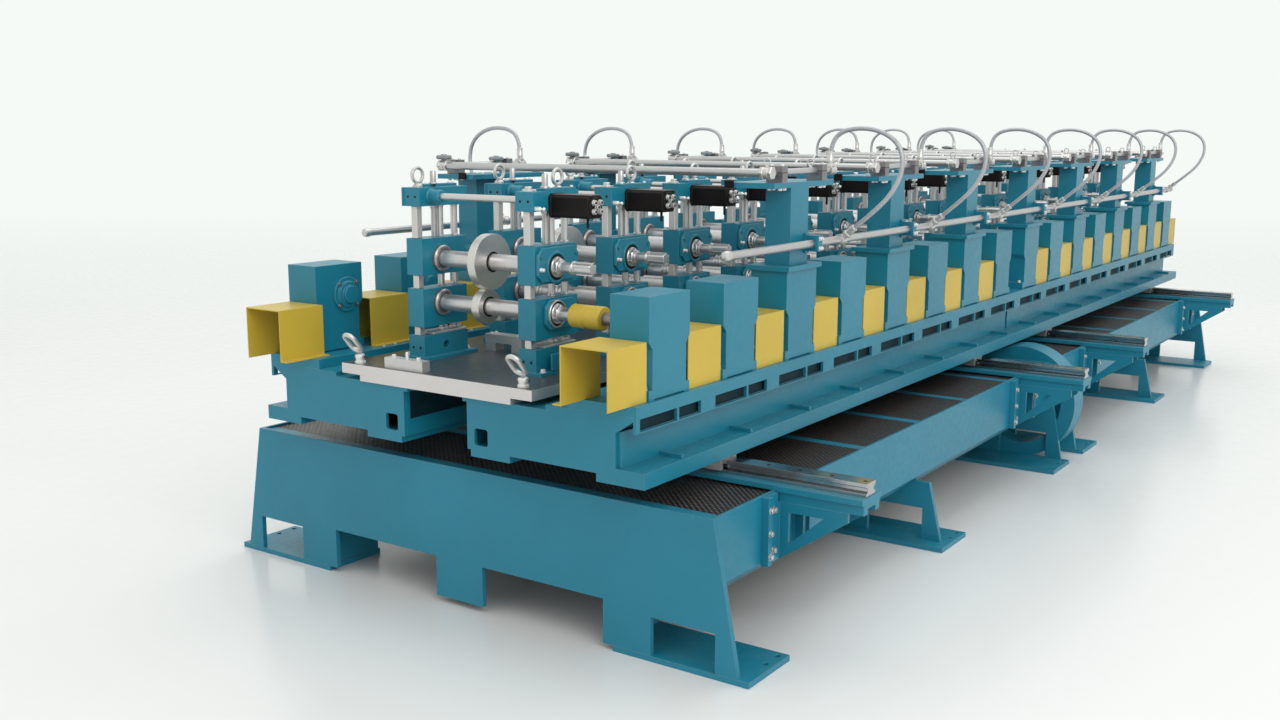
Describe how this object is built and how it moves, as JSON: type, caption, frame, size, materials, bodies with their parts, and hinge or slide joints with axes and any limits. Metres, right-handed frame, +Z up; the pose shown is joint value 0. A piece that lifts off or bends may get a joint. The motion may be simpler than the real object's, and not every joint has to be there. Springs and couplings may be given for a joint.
{
  "type": "roll forming machine",
  "caption": "Roll forming machine: paired roll stands with gearboxes, guards and portals on a bed that slides sideways over fabricated base frames.",
  "frame": {"origin": "centre of the machine's bounding box, at floor level", "axes": "+X along the line from the entry end to the exit end, +Y away from the side the bed slides out to, +Z up"},
  "size_m": [7.407, 2.607, 1.7345],
  "materials": {
    "black_housing": "matt black housing",
    "bright_steel": "machined steel",
    "hose_grey": "light grey hose",
    "teal_paint": "satin petrol blue paint",
    "tread_plate": "dark ribbed tread plate",
    "yellow_paint": "satin yellow paint"
  },
  "bodies": {
    "base": {"near_end_plates": "teal_paint", "far_end_plates": "teal_paint", "middle_legs": "teal_paint", "foot_plates": "teal_paint", "side_beams": "teal_paint", "deck_bars": "teal_paint", "deck_plates": "tread_plate", "slide_beams": "teal_paint", "slide_plates": "teal_paint", "slide_brackets": "teal_paint", "slide_rails": "bright_steel", "cable_guide_ring": "teal_paint"},
    "bed": {"actuator_plugs": "bright_steel", "actuators": "black_housing", "bearing_covers": "teal_paint", "bearing_rings": "bright_steel", "bed_end_plates": "teal_paint", "bed_side_plates": "teal_paint", "cap_plates": "teal_paint", "carriages": "bright_steel", "columns": "teal_paint", "coupling_sleeves": "yellow_paint", "cross_tubes": "bright_steel", "drive_rods": "bright_steel", "flange_ribs": "teal_paint", "front_bed_beams": "teal_paint", "front_gear_rails": "teal_paint", "gearbox_hubs": "teal_paint", "head_blocks": "teal_paint", "hoses_left": "hose_grey", "hoses_right": "hose_grey", "left_gearboxes": "teal_paint", "left_guards": "yellow_paint", "lifting_blocks": "bright_steel", "lifting_eyes": "bright_steel", "lifting_links": "bright_steel", "lower_chocks": "teal_paint", "pillar_bars": "bright_steel", "pipe_fittings": "bright_steel", "rear_bed_beams": "teal_paint", "rear_gear_rails": "teal_paint", "rear_lower_shafts": "bright_steel", "rear_upper_shafts": "bright_steel", "right_gearboxes": "teal_paint", "right_guards": "yellow_paint", "side_tubes": "bright_steel", "stand_feet": "teal_paint", "stop_blocks": "black_housing", "strip_guides": "bright_steel", "tooling_plates": "bright_steel", "tube_arms": "teal_paint", "tube_clamps": "bright_steel", "upper_chocks": "teal_paint", "valve_knobs": "bright_steel"},
    "lower_shaft_1": {"lower_shaft_1": "bright_steel"},
    "upper_shaft_1": {"upper_shaft_1": "bright_steel"},
    "lower_shaft_2": {"lower_shaft_2": "bright_steel"},
    "upper_shaft_2": {"upper_shaft_2": "bright_steel"},
    "lower_shaft_3": {"lower_shaft_3": "bright_steel"},
    "upper_shaft_3": {"upper_shaft_3": "bright_steel"}
  },
  "joints": [
    {"name": "bed_cross_slide", "type": "slide", "parent": "base", "child": "bed", "axis": [0, -1, 0], "range_m": [0, 0.5]},
    {"name": "lower_spin_1", "type": "hinge", "parent": "bed", "child": "lower_shaft_1", "pos_m": [-3.2945, 0.0915, 1.088], "axis": [0, 1, 0], "continuous": true},
    {"name": "upper_spin_1", "type": "hinge", "parent": "bed", "child": "upper_shaft_1", "pos_m": [-3.2945, 0.0915, 1.251], "axis": [0, 1, 0], "continuous": true},
    {"name": "lower_spin_2", "type": "hinge", "parent": "bed", "child": "lower_shaft_2", "pos_m": [-2.8445, 0.0915, 1.088], "axis": [0, 1, 0], "continuous": true},
    {"name": "upper_spin_2", "type": "hinge", "parent": "bed", "child": "upper_shaft_2", "pos_m": [-2.8445, 0.0915, 1.251], "axis": [0, 1, 0], "continuous": true},
    {"name": "lower_spin_3", "type": "hinge", "parent": "bed", "child": "lower_shaft_3", "pos_m": [-2.3945, 0.0915, 1.088], "axis": [0, 1, 0], "continuous": true},
    {"name": "upper_spin_3", "type": "hinge", "parent": "bed", "child": "upper_shaft_3", "pos_m": [-2.3945, 0.0915, 1.251], "axis": [0, 1, 0], "continuous": true}
  ],
  "couplings": [
    {"joint": "upper_spin_1", "follows": "lower_spin_1", "ratio": -1},
    {"joint": "upper_spin_2", "follows": "lower_spin_2", "ratio": -1},
    {"joint": "upper_spin_3", "follows": "lower_spin_3", "ratio": -1}
  ]
}
